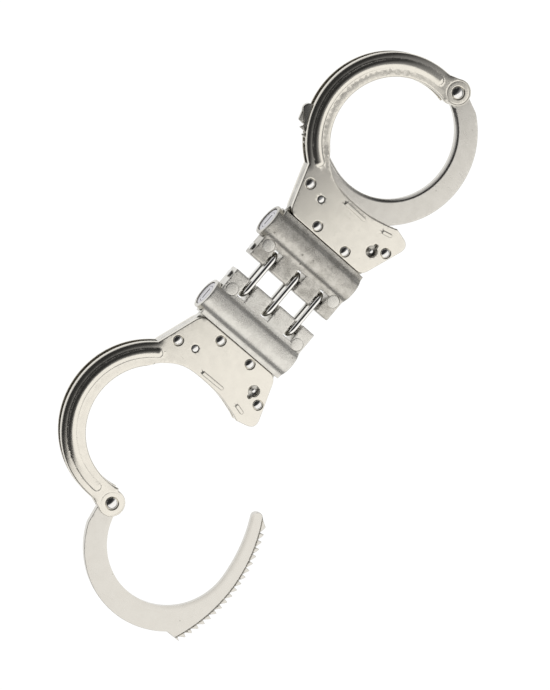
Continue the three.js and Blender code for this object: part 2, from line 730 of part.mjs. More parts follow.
// ---- assembly ----
const handcuffs = new THREE.Group();
const cuffA = cuff("a", 0);
const cuffB = cuff("b", openJawAngle);
cuffB.rotation.x = Math.PI;
handcuffs.add(cuffA, cuffB, ...linkXs().map((x, index) => wireLink(`link_${index + 1}`, x)));

// the origin is at the middle of the footprint, on the surface the barrels lie on
const extent = new THREE.Box3().setFromObject(handcuffs, true);
const middle = extent.getCenter(new THREE.Vector3());
handcuffs.position.set(-middle.x, -middle.y, -extent.min.z);

export default handcuffs;
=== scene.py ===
import math

import bmesh
import bpy
import numpy as np
from mathutils import Matrix, Vector, geometry


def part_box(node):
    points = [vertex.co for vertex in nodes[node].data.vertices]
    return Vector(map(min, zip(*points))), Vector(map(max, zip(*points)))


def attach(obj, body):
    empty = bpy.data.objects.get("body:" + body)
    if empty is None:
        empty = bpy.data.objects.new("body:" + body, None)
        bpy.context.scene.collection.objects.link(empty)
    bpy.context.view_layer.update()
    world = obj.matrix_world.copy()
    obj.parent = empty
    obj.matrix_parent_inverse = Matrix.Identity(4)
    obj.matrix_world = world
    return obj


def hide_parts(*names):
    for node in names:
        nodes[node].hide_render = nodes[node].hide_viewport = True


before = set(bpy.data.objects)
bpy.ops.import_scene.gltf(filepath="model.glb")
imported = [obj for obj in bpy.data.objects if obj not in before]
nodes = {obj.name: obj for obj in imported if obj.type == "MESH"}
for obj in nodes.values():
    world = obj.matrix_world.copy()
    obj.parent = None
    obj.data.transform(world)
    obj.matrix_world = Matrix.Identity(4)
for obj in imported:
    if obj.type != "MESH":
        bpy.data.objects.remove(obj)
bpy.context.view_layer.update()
scene = bpy.context.scene
mm = 0.001

# Each cuff is drawn in its own frame, in millimetres: the hinge axis runs along X at y = 0,
# the cuff reaches towards +Y and z = 0 is its mid-plane. The second cuff is turned half a turn.
middleLink = {"x": 2.3, "pitch": 15.5, "wire": 1.6, "bend": 3.8}
linkLow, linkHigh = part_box("link_2")
hinge = np.array((linkLow + linkHigh) / 2) / mm - np.array([middleLink["x"], 0, 0])
rodY = 8.6
barrel = {"y": 23.5, "radius": 8.35, "left": -27.5, "right": 28.3, "edge": 0.5}
wrist = {"centre": (-4.5, 92.2), "radius": 32.4}
band = {"centre": (-6.5, 92.4), "radius": 43.295}
jawPivot = (3.883, 131.696)
faceZ = 4.9
rivetPlaces = {"a": (-23.9, 50.0), "b": (-7.2, 36.7), "c": (12.0, 36.2), "d": (28.7, 48.9)}
pawlPin = {"at": (-14.6, 47.7), "radius": 1.6, "half": 5.02}
noEdge = 9.0  # a distance past any edge's rounding
keyhole = {"at": (22.5, 44.9), "radius": 2.7, "tailY": 48.45, "tailWidth": 1.7, "post": 1.0,
           "postHalf": 4.5}


# flat geometry
def polar(centre, radius, degrees):
    angle = np.radians(degrees)
    return np.stack([centre[0] + radius * np.cos(angle), centre[1] + radius * np.sin(angle)], -1)


def arc(centre, radius, start, end, step=0.6):
    count = max(4, math.ceil(abs(math.radians(end - start)) * radius / step))
    return polar(centre, radius, np.linspace(start, end, count + 1))


def circle(centre, radius, step=0.5):
    return arc(centre, radius, 0, 360, step)[:-1]


def split(points, step=0.6, closed=True):
    points = np.array(points, float)
    last = np.roll(points, -1, 0) if closed else points[1:]
    made = []
    for start, end in zip(points, last):
        count = max(1, math.ceil(np.linalg.norm(end - start) / step))
        made.extend(start + (end - start) * k / count for k in range(count))
    if not closed:
        made.append(points[-1])
    return np.array(made)


def roundedPolygon(corners, radii, step=0.4):
    made = []
    count = len(corners)
    for k, (corner, radius) in enumerate(zip(corners, radii)):
        corner = np.array(corner, float)
        back = np.array(corners[k - 1], float) - corner
        ahead = np.array(corners[(k + 1) % count], float) - corner
        back /= np.linalg.norm(back)
        ahead /= np.linalg.norm(ahead)
        if radius == 0:
            made.append(corner)
            continue
        half = math.acos(np.clip(back @ ahead, -1, 1)) / 2
        first = corner + back * radius / math.tan(half)
        last = corner + ahead * radius / math.tan(half)
        steps = max(3, math.ceil(np.linalg.norm(last - first) / step))
        for t in np.linspace(0, 1, steps + 1):
            made.append((1 - t) ** 2 * first + 2 * t * (1 - t) * corner + t * t * last)
    return np.array(made)


def chunks(points, size=1500):
    return (points[k:k + size] for k in range(0, len(points), size))


def contains(loops, points):
    result = []
    for part in chunks(points):
        odd = np.zeros(len(part), bool)
        for loop in loops:
            x0, y0 = loop[:, 0], loop[:, 1]
            x1, y1 = np.roll(x0, -1), np.roll(y0, -1)
            px, py = part[:, :1], part[:, 1:]
            spans = (y0 > py) != (y1 > py)
            rise = np.where(y1 == y0, 1e-12, y1 - y0)
            odd ^= (np.sum(spans & (px < (x1 - x0) * (py - y0) / rise + x0), 1) % 2).astype(bool)
        result.append(odd)
    return np.concatenate(result)


def edgeDistance(loops, points):
    starts = np.concatenate(loops)
    ends = np.concatenate([np.roll(loop, -1, 0) for loop in loops])
    along = ends - starts
    length = np.maximum(np.sum(along ** 2, 1), 1e-12)
    result = []
    for part in chunks(points):
        offset = part[:, None] - starts[None]
        t = np.clip(np.sum(offset * along, 2) / length, 0, 1)
        result.append(np.sqrt(np.min(np.sum((offset - t[..., None] * along) ** 2, 2), 1)))
    return np.concatenate(result)


def triangulate(points, edges):
    made = geometry.delaunay_2d_cdt([Vector(p) for p in points], edges, [], 0, 1e-5)
    flat = np.array([tuple(v) for v in made[0]])
    triangles = np.array([tuple(f) for f in made[2]], int)
    a, b, c = flat[triangles[:, 0]], flat[triangles[:, 1]], flat[triangles[:, 2]]
    turned = np.cross(b - a, c - a) < 0
    triangles[turned] = triangles[turned][:, ::-1]
    return flat, triangles


def loopEdges(loops):
    edges = []
    start = 0
    for loop in loops:
        edges += [(start + k, start + (k + 1) % len(loop)) for k in range(len(loop))]
        start += len(loop)
    return edges


def boundaryOf(triangles):
    directed = set()
    for a, b, c in triangles.tolist():
        directed.update(((a, b), (b, c), (c, a)))
    return [edge for edge in directed if (edge[1], edge[0]) not in directed]


# the outline of the area where `inside` holds, among the areas that the curves cut
def outlineOf(curves, inside):
    flat, triangles = triangulate(np.concatenate(curves), loopEdges(curves))
    middle = flat[triangles].mean(1)
    follow = dict(boundaryOf(triangles[inside(middle)]))
    loops = []
    while follow:
        start, at = follow.popitem()
        loop = [start]
        while at != start:
            loop.append(at)
            at = follow.pop(at)
        points = flat[loop]
        keep = np.linalg.norm(points - np.roll(points, 1, 0), axis=1) > 0.03
        loops.append(split(points[keep], 0.7))
    return loops


def insetPoints(loops, distances):
    made = []
    for loop in loops:
        ahead = np.roll(loop, -1, 0) - loop
        ahead /= np.linalg.norm(ahead, axis=1)[:, None]
        across = np.stack([-ahead[:, 1], ahead[:, 0]], 1)
        across = across + np.roll(across, 1, 0)
        across /= np.maximum(np.linalg.norm(across, axis=1), 1e-6)[:, None]
        made += [loop + across * distance for distance in distances]
    return np.concatenate(made)


def gridPoints(loops, step):
    every = np.concatenate(loops)
    low, high = every.min(0), every.max(0)
    x, y = np.meshgrid(np.arange(low[0], high[0], step), np.arange(low[1], high[1], step))
    return np.stack([x.ravel() + (y.ravel() / step % 2 > 1) * step / 2, y.ravel()], 1)


# a closed solid between two height fields over an outline
def heightSolid(loops, topAt, bottomAt, guides, step=2.5):
    extra = np.concatenate([*guides, gridPoints(loops, step)])
    extra = extra[contains(loops, extra)]
    extra = extra[edgeDistance(loops, extra) > 0.012]
    flat, triangles = triangulate(np.concatenate([*loops, extra]), loopEdges(loops))
    triangles = triangles[contains(loops, flat[triangles].mean(1))]
    used, inverse = np.unique(triangles, return_inverse=True)
    flat, triangles = flat[used], inverse.reshape(-1, 3)
    distance = edgeDistance(loops, flat)
    count = len(flat)
    top = np.column_stack([flat, topAt(flat, distance)])
    bottom = np.column_stack([flat, bottomAt(flat, distance)])
    faces = triangles.tolist() + (triangles[:, ::-1] + count).tolist()
    faces += [(count + a, count + b, b, a) for a, b in boundaryOf(triangles)]
    return np.concatenate([top, bottom]), faces


def edgeDrop(distance, radius):
    inside = radius - np.clip(distance, 0, radius)
    return radius - np.sqrt(np.maximum(radius ** 2 - inside ** 2, 0))


def edgeRings(radius, steps=5):
    return [radius * (1 - math.cos(math.radians(90 * k / steps))) for k in range(1, steps + 1)]


def smooth(value):
    t = np.clip(value, 0, 1)
    return t * t * (3 - 2 * t)


# distance from a capsule's middle line
def capsuleDistance(points, start, end):
    start, end = np.array(start), np.array(end)
    along = end - start
    t = np.clip((points - start) @ along / (along @ along), 0, 1)
    return np.linalg.norm(points - start - t[:, None] * along, axis=1)


def groove(radius, at, halfWidth, depth):
    return depth * smooth(1 - np.abs(radius - at) / halfWidth)


# solids
# a profile of (radius, height) turned about Z, closed at both ends
def lathe(profile, segments=48):
    points, faces, rings = [], [], []
    for radius, height in profile:
        if radius < 1e-6:
            rings.append([len(points)])
            points.append((0, 0, height))
            continue
        ring = []
        for k in range(segments):
            angle = 2 * math.pi * k / segments
            ring.append(len(points))
            points.append((radius * math.cos(angle), radius * math.sin(angle), height))
        rings.append(ring)
    for low, high in zip(rings, rings[1:]):
        for k in range(segments):
            n = (k + 1) % segments
            if len(low) == 1:
                faces.append((low[0], high[n], high[k]))
            elif len(high) == 1:
                faces.append((low[k], low[n], high[0]))
            else:
                faces.append((low[k], low[n], high[n], high[k]))
    return np.array(points, float), faces


def domedPin(radius, low, high, lowRise, highRise, waist=None, steps=7):
    quarter = [math.radians(90 * k / steps) for k in range(steps + 1)]
    lowEnd = [(radius * math.sin(a), low + lowRise * (1 - math.cos(a))) for a in quarter]
    highEnd = [(radius * math.sin(a), high - highRise * (1 - math.cos(a))) for a in reversed(quarter)]
    middle = []
    if waist:
        waistRadius, waistLow, waistHigh = waist
        middle = [(radius, waistLow), (waistRadius, waistLow), (waistRadius, waistHigh), (radius, waistHigh)]
    return lathe([*lowEnd, *middle, *highEnd])


def alongX(points, y):
    turned = points[:, [2, 0, 1]].copy()
    turned[:, 1] += y
    return turned


def toRow(points, side, flip=False):
    p = np.array(points, float)
    if flip:
        p[:, 2] *= -1
    if side == "b":
        p[:, 1:] *= -1
    return (p + hinge) * mm


def newObject(name, points, faces):
    mesh = bpy.data.meshes.new(name)
    mesh.from_pydata([tuple(p) for p in points], [], [tuple(f) for f in faces])
    obj = bpy.data.objects.new(name, mesh)
    scene.collection.objects.link(obj)
    return obj


def bake(obj):
    bpy.context.view_layer.update()
    made = bpy.data.meshes.new_from_object(obj.evaluated_get(bpy.context.evaluated_depsgraph_get()))
    obj.modifiers.clear()
    obj.data = made


def carve(obj, tools, operation="DIFFERENCE"):
    for tool in tools:
        step = obj.modifiers.new("carve", "BOOLEAN")
        step.operation = operation
        step.solver = "EXACT"
        step.object = tool
        bake(obj)
        bpy.data.objects.remove(tool)


def finishPiece(obj, body, material, replaced, sharp=38):
    obj.data.materials.clear()
    obj.data.materials.append(material)
    obj.data.shade_smooth()
    obj.data.set_sharp_from_angle(angle=math.radians(sharp))
    even = obj.modifiers.new("even", "WEIGHTED_NORMAL")
    even.keep_sharp = True
    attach(obj, body)
    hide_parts(*replaced)
    return obj


def solidPiece(name, solid, side, flip=False):
    points, faces = solid
    if flip:
        faces = [tuple(face)[::-1] for face in faces]
    return newObject(name, toRow(points, side, flip), faces)


# materials
def nodeIn(tree, kind, **values):
    node = tree.nodes.new(kind)
    for key, value in values.items():
        if key.startswith("in_"):
            node.inputs[int(key[3:])].default_value = value
        else:
            setattr(node, key, value)
    return node


def newGroup(name, inputs, outputs):
    tree = bpy.data.node_groups.new(name, "ShaderNodeTree")
    for label, default in inputs:
        socket = tree.interface.new_socket(label, in_out="INPUT", socket_type="NodeSocketFloat")
        socket.default_value = default
    for label in outputs:
        tree.interface.new_socket(label, in_out="OUTPUT", socket_type="NodeSocketFloat")
    return tree, tree.nodes.new("NodeGroupInput"), tree.nodes.new("NodeGroupOutput")


def spread(tree, source, low, high, outLow=0.0, outHigh=1.0):
    node = nodeIn(tree, "ShaderNodeMapRange", interpolation_type="SMOOTHSTEP",
                  in_1=low, in_2=high, in_3=outLow, in_4=outHigh)
    tree.links.new(source, node.inputs[0])
    return node.outputs[0]


def maths(tree, operation, first, second):
    node = nodeIn(tree, "ShaderNodeMath", operation=operation)
    for socket, value in zip(node.inputs, (first, second)):
        if isinstance(value, (int, float)):
            socket.default_value = value
        else:
            tree.links.new(value, socket)
    return node.outputs[0]


def noise(tree, scale, detail, rough=0.55, stretch=(1, 1, 1)):
    place = nodeIn(tree, "ShaderNodeTexCoord")
    mapped = nodeIn(tree, "ShaderNodeMapping", in_3=stretch)
    tree.links.new(place.outputs["Object"], mapped.inputs[0])
    node = nodeIn(tree, "ShaderNodeTexNoise")
    node.inputs["Scale"].default_value = scale
    node.inputs["Detail"].default_value = detail
    node.inputs["Roughness"].default_value = rough
    tree.links.new(mapped.outputs[0], node.inputs["Vector"])
    return node.outputs["Fac"]


# fine grain of plated or cast metal, with a slow waviness under it
grain, grainIn, grainOut = newGroup("grain", [("Fine", 1.0), ("Wave", 1.0)], ["Height", "Cloud"])
fineGrain = maths(grain, "MULTIPLY", noise(grain, 2600, 3), grainIn.outputs["Fine"])
wave = maths(grain, "MULTIPLY", noise(grain, 90, 1, 0.4), grainIn.outputs["Wave"])
grain.links.new(maths(grain, "ADD", fineGrain, wave), grainOut.inputs["Height"])
grain.links.new(spread(grain, noise(grain, 210, 4, 0.6), 0.35, 0.68), grainOut.inputs["Cloud"])

# sparse small pits
pits, pitsIn, pitsOut = newGroup("pits", [("Size", 0.16)], ["Mask"])
cells = nodeIn(pits, "ShaderNodeTexVoronoi")
cells.inputs["Scale"].default_value = 330
cellPlace = nodeIn(pits, "ShaderNodeTexCoord")
pits.links.new(cellPlace.outputs["Object"], cells.inputs["Vector"])
near = maths(pits, "LESS_THAN", cells.outputs["Distance"], pitsIn.outputs["Size"])
chosen = nodeIn(pits, "ShaderNodeSeparateColor")
pits.links.new(cells.outputs["Color"], chosen.inputs[0])
pits.links.new(maths(pits, "MULTIPLY", near, maths(pits, "GREATER_THAN", chosen.outputs[0], 0.88)),
               pitsOut.inputs["Mask"])

# painted shade held in creases: ambient occlusion darkens the base colour in creases and recesses
crease, creaseIn, creaseOut = newGroup("crease", [("Reach", 0.0012)], ["Mask"])
shade = nodeIn(crease, "ShaderNodeAmbientOcclusion", samples=8)
crease.links.new(creaseIn.outputs["Reach"], shade.inputs["Distance"])
crease.links.new(spread(crease, shade.outputs["AO"], 0.15, 0.6, 1.0, 0.0), creaseOut.inputs["Mask"])

# light handling marks
scuffs, scuffsIn, scuffsOut = newGroup("scuffs", [("Amount", 1.0)], ["Mask"])
streak = spread(scuffs, noise(scuffs, 160, 5, 0.7, (1, 6, 1)), 0.58, 0.75)
patch = spread(scuffs, noise(scuffs, 45, 2), 0.5, 0.62)
scuffs.links.new(maths(scuffs, "MULTIPLY", maths(scuffs, "MULTIPLY", streak, patch),
                       scuffsIn.outputs["Amount"]), scuffsOut.inputs["Mask"])


def useGroup(tree, group, **values):
    node = nodeIn(tree, "ShaderNodeGroup", node_tree=group)
    for key, value in values.items():
        node.inputs[key].default_value = value
    return node


def blendColour(tree, amount, first, second):
    node = nodeIn(tree, "ShaderNodeMix", data_type="RGBA")
    colours = [socket for socket in node.inputs if socket.type == "RGBA"]
    for socket, value in zip(colours, (first, second)):
        if isinstance(value, tuple):
            socket.default_value = (*value, 1)
        else:
            tree.links.new(value, socket)
    tree.links.new(amount, node.inputs[0])
    return [socket for socket in node.outputs if socket.type == "RGBA"][0]


def metal(name, look):
    material = bpy.data.materials.new(name)
    material.use_nodes = True
    tree = material.node_tree
    shader = tree.nodes["Principled BSDF"]
    shader.inputs["Metallic"].default_value = 1
    surface = useGroup(tree, grain, Fine=look["fine"], Wave=look["wave"])
    spots = useGroup(tree, pits, Size=look["pitSize"])
    # the crease mask is painted shade, taken from ambient occlusion
    creaseShade = useGroup(tree, crease, Reach=look["creaseShadeReach"])
    marks = useGroup(tree, scuffs, Amount=look["scuffs"])
    cloudy = maths(tree, "MULTIPLY", surface.outputs["Cloud"], look["cloud"])
    colour = blendColour(tree, cloudy, look["colour"], look["cloudColour"])
    inPits = maths(tree, "MULTIPLY", spots.outputs[0], look["pitDark"])
    colour = blendColour(tree, inPits, colour, look["pitAndCreaseShadeColour"])
    # painted shade: the occlusion mask darkens creases toward the dark colour that also marks the real pits
    inCreases = maths(tree, "MULTIPLY", creaseShade.outputs[0], look["creaseShade"])
    colour = blendColour(tree, inCreases, colour, look["pitAndCreaseShadeColour"])
    tree.links.new(colour, shader.inputs["Base Color"])
    roughCloud = maths(tree, "MULTIPLY", surface.outputs["Cloud"], look["roughCloud"])
    rough = maths(tree, "ADD", roughCloud, look["rough"])
    rough = maths(tree, "ADD", rough, maths(tree, "MULTIPLY", marks.outputs[0], 0.12))
    tree.links.new(rough, shader.inputs["Roughness"])
    pitDepth = maths(tree, "MULTIPLY", spots.outputs[0], 0.5)
    height = maths(tree, "SUBTRACT", surface.outputs["Height"], pitDepth)
    height = maths(tree, "SUBTRACT", height, maths(tree, "MULTIPLY", marks.outputs[0], 0.25))
    bump = nodeIn(tree, "ShaderNodeBump")
    bump.inputs["Strength"].default_value = look["bump"]
    bump.inputs["Distance"].default_value = 0.0001
    tree.links.new(height, bump.inputs["Height"])
    tree.links.new(bump.outputs[0], shader.inputs["Normal"])
    return material


# the darkest colour serves both the real pits and the painted crease shade; the two numbers after it set how
# strong the painted shade is and how far it reaches
plateLook = {
    "colour": (0.71, 0.68, 0.61), "cloudColour": (0.64, 0.61, 0.55), "cloud": 0.2,
    "pitAndCreaseShadeColour": (0.10, 0.09, 0.08), "creaseShade": 0.6, "creaseShadeReach": 0.0008,
    "fine": 0.25, "wave": 0.8, "pitSize": 0.07, "pitDark": 0.5, "scuffs": 1.0,
    "rough": 0.2, "roughCloud": 0.02, "bump": 0.3,
}
jawLook = {**plateLook, "colour": (0.62, 0.60, 0.555), "cloudColour": (0.57, 0.545, 0.495),
           "rough": 0.24, "pitSize": 0.08, "pitDark": 0.6}
# the castings get a darker, deeper and wider-reaching painted crease shade
castLook = {**plateLook, "colour": (0.66, 0.645, 0.60), "cloudColour": (0.56, 0.54, 0.50), "cloud": 0.5,
            "fine": 1.0, "wave": 0.8, "rough": 0.22, "roughCloud": 0.06, "bump": 0.6, "pitSize": 0.12,
            "pitAndCreaseShadeColour": (0.09, 0.08, 0.065), "creaseShade": 1.0, "creaseShadeReach": 0.0014}
wornLook = {**castLook, "colour": (0.55, 0.53, 0.485), "cloudColour": (0.36, 0.345, 0.31), "cloud": 0.75,
            "pitSize": 0.18}
polishedLook = {**plateLook, "colour": (0.80, 0.79, 0.76), "cloudColour": (0.74, 0.73, 0.70),
                "fine": 0.1, "wave": 0.4, "rough": 0.08, "roughCloud": 0.04, "bump": 0.2, "creaseShade": 0.5}
rivetLook = {**polishedLook, "colour": (0.74, 0.73, 0.71), "rough": 0.12}
lockLook = {**plateLook, "colour": (0.56, 0.55, 0.57), "cloudColour": (0.48, 0.47, 0.49), "rough": 0.28,
            "fine": 0.6, "creaseShade": 0.9}
springLook = {**plateLook, "colour": (0.42, 0.43, 0.46), "cloudColour": (0.34, 0.35, 0.38), "rough": 0.3,
              "pitAndCreaseShadeColour": (0.05, 0.045, 0.04)}
mechanismLook = {**plateLook, "colour": (0.52, 0.50, 0.47), "cloudColour": (0.42, 0.40, 0.37),
                 "rough": 0.33}
finishes = {
    "cheek_plate": metal("plated plate", plateLook),
    "jaw_plate": metal("plated jaw", jawLook),
    "casting": metal("plated casting", castLook),
    "casting_worn": metal("worn casting", wornLook),
    "rivet": metal("rivet steel", rivetLook),
    "rod": metal("rod steel", {**rivetLook, "rough": 0.16}),
    "wire_link": metal("wire steel", polishedLook),
    "dowel": metal("dowel face", {**castLook, "cloud": 0.4, "creaseShade": 0.6}),
    "lock_shell": metal("lock shell", lockLook),
    "lock_plug": metal("lock plug", {**lockLook, "rough": 0.24}),
    "mechanism": metal("mechanism steel", mechanismLook),
    "spring_steel": metal("spring steel", springLook),
}
print("materials made")

# cheek plates
cheek = {
    "low": 2.3, "edge": 0.55, "innerEdge": 0.9, "shoulderWidth": 3.7, "shoulderDrop": 1.15,
    "beadRadius": 37.65, "beadHalf": 2.45, "beadHeight": 0.95, "stripWidth": 3.0, "stripDrop": 0.3,
    "beadStart": 91.5, "beadEnd": 236.5, "pipRadius": 77.7, "pipHalf": 1.1, "pipHeight": 0.4,
    "lugRadius": 6.8, "lugRing": 5.75, "rivetRing": 2.5, "plateLeft": -22.6, "plateRight": 26.5,
    "plateBottom": 32.9, "tip": (36.4, 59.0), "neckAngle": 235.5, "rootAngle": 219,
    "armStart": 75, "armEnd": 228,
}
# the lock plate's inner edge: degrees about the wrist opening, and how far outside it
innerEdge = [(-45.5, 10.4), (-51.6, 8.7), (-68, 5.2), (-93, 2.9), (-108, 2.7), (-123, 1.5),
             (-133.5, 0.3), (-139, 0.02)]


def splineThrough(points, steps=10):
    points = [np.array(p) for p in points]
    made = []
    for k in range(len(points) - 1):
        p0 = points[max(k - 1, 0)]
        p1, p2 = points[k], points[k + 1]
        p3 = points[min(k + 2, len(points) - 1)]
        for t in np.linspace(0, 1, steps, endpoint=False):
            made.append(0.5 * (2 * p1 + (p2 - p0) * t + (2 * p0 - 5 * p1 + 4 * p2 - p3) * t * t
                               + (3 * p1 - p0 - 3 * p2 + p3) * t ** 3))
    made.append(points[-1])
    return made


def lockPlateCorners():
    edge = [polar(wrist["centre"], wrist["radius"] + out, degrees) for degrees, out in innerEdge]
    root = cheek["rootAngle"]
    corners = [polar(band["centre"], band["radius"], cheek["neckAngle"]),
               (cheek["plateLeft"], cheek["plateBottom"]), (cheek["plateRight"], cheek["plateBottom"]),
               cheek["tip"], *splineThrough(edge), polar(band["centre"], band["radius"] - 1, root),
               *arc(band["centre"], band["radius"], root, cheek["neckAngle"])[:-1]]
    radii = [0, 5.5, 5.5, 5.0] + [0] * (len(corners) - 4)
    return roundedPolygon(corners, radii)


def cheekLoops():
    inner, outer = wrist["radius"] - 3, band["radius"]
    low, high = cheek["armStart"], cheek["armEnd"]
    arm = np.concatenate([arc(band["centre"], outer, low, high), arc(band["centre"], inner, high, low)])
    plate = lockPlateCorners()
    lug = circle(jawPivot, cheek["lugRadius"])
    # fills the hollow between the band's outer edge and the lug
    webCorners = np.array([polar(band["centre"], outer - 0.5, 88), polar(band["centre"], outer - 0.02, 88),
                           polar(jawPivot, cheek["lugRadius"] - 0.02, 96), polar(jawPivot, 3, 60)])
    opening = circle(wrist["centre"], wrist["radius"])
    holes = [circle(jawPivot, 2.1, 0.4), circle(pawlPin["at"], pawlPin["radius"] + 0.1, 0.35)]
    holes += [circle(place, 1.6, 0.35) for place in rivetPlaces.values()]
    tailStart = math.degrees(math.asin(keyhole["tailWidth"] / 2 / keyhole["radius"]))
    at = keyhole["at"]
    hole = arc(at, keyhole["radius"], 90 + tailStart, 450 - tailStart, 0.3)
    tail = arc((at[0], keyhole["tailY"]), keyhole["tailWidth"] / 2, 0, 180, 0.3)
    key = np.concatenate([hole, tail])
    curves = [arm, split(plate), lug, split(webCorners), opening, *holes, key]

    def inside(p):
        solid = contains([arm], p) | contains([plate], p) | contains([lug], p) | contains([webCorners], p)
        solid &= ~contains([opening], p) & ~contains([key], p)
        for made in holes:
            solid &= ~contains([made], p)
        return solid

    return outlineOf(curves, inside)


pipAngles = ([-95.2, -86.3], [-77.2, -74.4])
pipEnds = [polar(jawPivot, cheek["pipRadius"], np.array(pair)) for pair in pipAngles]


def cheekTop(p, distance):
    toBand = p - np.array(band["centre"])
    radius = np.linalg.norm(toBand, axis=1)
    angle = np.degrees(np.arctan2(toBand[:, 1], toBand[:, 0])) % 360
    z = np.full(len(p), faceZ)
    # the band's outer shoulder, fading into the lug and the lock plate
    lug = np.linalg.norm(p - np.array(jawPivot), axis=1)
    weight = smooth((angle - 78) / 16) * smooth((240 - angle) / 12)
    weight *= smooth((lug - cheek["lugRadius"]) / 5)
    inward = (cheek["shoulderWidth"] - (band["radius"] - radius)) / cheek["shoulderWidth"]
    z -= weight * cheek["shoulderDrop"] * np.clip(inward, 0, 1) ** 2.7
    # the raised bead
    start = polar(band["centre"], cheek["beadRadius"], cheek["beadStart"])
    end = polar(band["centre"], cheek["beadRadius"], cheek["beadEnd"])
    out = radius - cheek["beadRadius"]
    across = np.abs(out)
    for cap, isPast in ((start, angle < cheek["beadStart"]), (end, angle > cheek["beadEnd"])):
        away = p - cap
        capRadius = np.linalg.norm(away, axis=1)
        across = np.where(isPast, capRadius, across)
    z += cheek["beadHeight"] * np.clip(1 - (across / cheek["beadHalf"]) ** 2, 0, 1) ** 0.9
    # the two pips over the teeth
    for first, last in pipEnds:
        z += cheek["pipHeight"] * smooth((cheek["pipHalf"] - capsuleDistance(p, first, last)) / 0.5)
    # rings round the pins
    z -= groove(lug, cheek["lugRing"], 0.5, 0.06) + groove(lug, 3.15, 0.3, 0.3)
    for place in rivetPlaces.values():
        z -= groove(np.linalg.norm(p - np.array(place), axis=1), cheek["rivetRing"], 0.28, 0.28)
    z -= groove(np.linalg.norm(p - np.array(pawlPin["at"]), axis=1), pawlPin["radius"] + 0.15, 0.25, 0.25)
    inner = np.linalg.norm(p - np.array(wrist["centre"]), axis=1) - wrist["radius"]
    onBand = smooth((angle - 70) / 12) * smooth((238 - angle) / 20)
    z -= edgeDrop(inner, cheek["innerEdge"]) * smooth((angle - 70) / 12)
    z -= onBand * cheek["stripDrop"] * np.clip(1 - inner / cheek["stripWidth"], 0, 1) ** 1.5
    plain = np.where((inner < cheek["innerEdge"]) & (angle > 76) & (angle < 250), noEdge, distance)
    return z - edgeDrop(plain, cheek["edge"])


def cheekBottom(p, distance):
    return cheek["low"] + edgeDrop(distance, 0.2)


def rows(centre, radii, start, end, step=0.9):
    return [arc(centre, radius, start, end, step) for radius in radii]


# circles with the same number of points, so that the triangles between them stay even
def ringRows(centre, radii, step=0.4):
    count = math.ceil(2 * math.pi * max(radii) / step)
    return [polar(centre, radius, np.arange(count) * 360 / count) for radius in radii]


def cheekGuides(loops):
    halves = np.arange(-cheek["beadHalf"] - 0.1, cheek["beadHalf"] + 0.15, 0.24)
    guides = [insetPoints(loops, edgeRings(cheek["edge"]))]
    guides += rows(band["centre"], cheek["beadRadius"] + halves, 74, 240, 0.8)
    guides += rows(band["centre"], band["radius"] - np.linspace(0.4, 4.4, 8), 74, 242)
    innerRings = wrist["radius"] + np.array(edgeRings(cheek["innerEdge"], 6))
    guides += rows(wrist["centre"], innerRings, 60, 245, 0.7)
    for degrees in (cheek["beadStart"], cheek["beadEnd"]):
        cap = polar(band["centre"], cheek["beadRadius"], degrees)
        guides += ringRows(cap, np.arange(0.2, 2.6, 0.24), 0.35)
    for first, last in pipEnds:
        for reach in (0.6, 0.75, 0.9, 1.0, 1.1, 1.15):
            for t in np.linspace(0, 1, 12):
                guides.append(circle(first + (last - first) * t, reach, 0.35))
    guides += ringRows(jawPivot, [2.85, 3.0, 3.15, 3.3, 3.45, 3.8, 5.25, 5.5, 5.75, 6.0, 6.25], 0.5)
    for place in rivetPlaces.values():
        guides += ringRows(place, [2.2, 2.35, 2.5, 2.65, 2.8, 3.1])
    guides += ringRows(pawlPin["at"], [1.82, 1.9, 2.0, 2.3])
    return guides


cheekOutline = cheekLoops()
cheekSolid = heightSolid(cheekOutline, cheekTop, cheekBottom, cheekGuides(cheekOutline))
for side in "ab":
    for face, flip in (("Front", False), ("Rear", True)):
        plate = solidPiece(f"{side}{face}Cheek", cheekSolid, side, flip)
        finishPiece(plate, f"cuff_{side}", finishes["cheek_plate"],
                    [f"{side}_cheek_{face.lower()}"], 50)
print("cheek plates made", len(cheekSolid[1]))

# jaws
jaw = {
    "half": 2.0, "innerCentre": (-7.7, 95.6), "innerRadius": 32.9, "outerCentre": (-7.0, 94.4),
    "outerRadius": 44.5, "lugRadius": 6.4, "hole": 2.15, "tipRadius": 80.796, "toothHeight": 2.2,
    "firstTooth": -78.3, "toothStep": 2.7444, "teeth": 19, "tipWidth": 6.4, "tipStart": -107.8,
    "edge": 0.35, "innerFront": 1.5, "innerRear": 2.1, "innerFrontDrop": 1.1, "innerRearDrop": 0.24,
    "stepRadius": 78.35, "grooveDepth": 0.4, "grooveHalf": 0.32, "slopeWidth": 4.6, "slopeDrop": 1.05,
    "openAngle": 101.5,
}
jawRoot = jaw["tipRadius"] - jaw["toothHeight"]
lastTooth = jaw["firstTooth"] - jaw["toothStep"] * (jaw["teeth"] + 1)
innerReach = np.linalg.norm(np.array(jaw["innerCentre"]) - np.array(jawPivot)) + jaw["innerRadius"]


# how far from the pivot the strand's inner edge lies, where it narrows towards the tip
def narrowReach(angle):
    t = np.clip((jaw["tipStart"] - angle) / (jaw["tipStart"] - lastTooth), 0, 1)
    return innerReach + (jawRoot - jaw["tipWidth"] - innerReach) * t ** 1.5


def toothOutline():
    tip = jaw["tipRadius"]
    points = [np.array(jawPivot), polar(jawPivot, jaw["lugRadius"], 25), polar(jawPivot, 18.5, -7.4),
              *arc(jawPivot, tip, -7.4, jaw["firstTooth"], 1.0)]
    for tooth in range(jaw["teeth"]):
        angle = jaw["firstTooth"] - tooth * jaw["toothStep"]
        points.append(polar(jawPivot, jawRoot, angle - 0.25))
        points.append(polar(jawPivot, tip, angle - jaw["toothStep"] + 0.35))
        points.append(polar(jawPivot, tip, angle - jaw["toothStep"]))
    points.append(polar(jawPivot, jawRoot, lastTooth))
    return np.array(points)


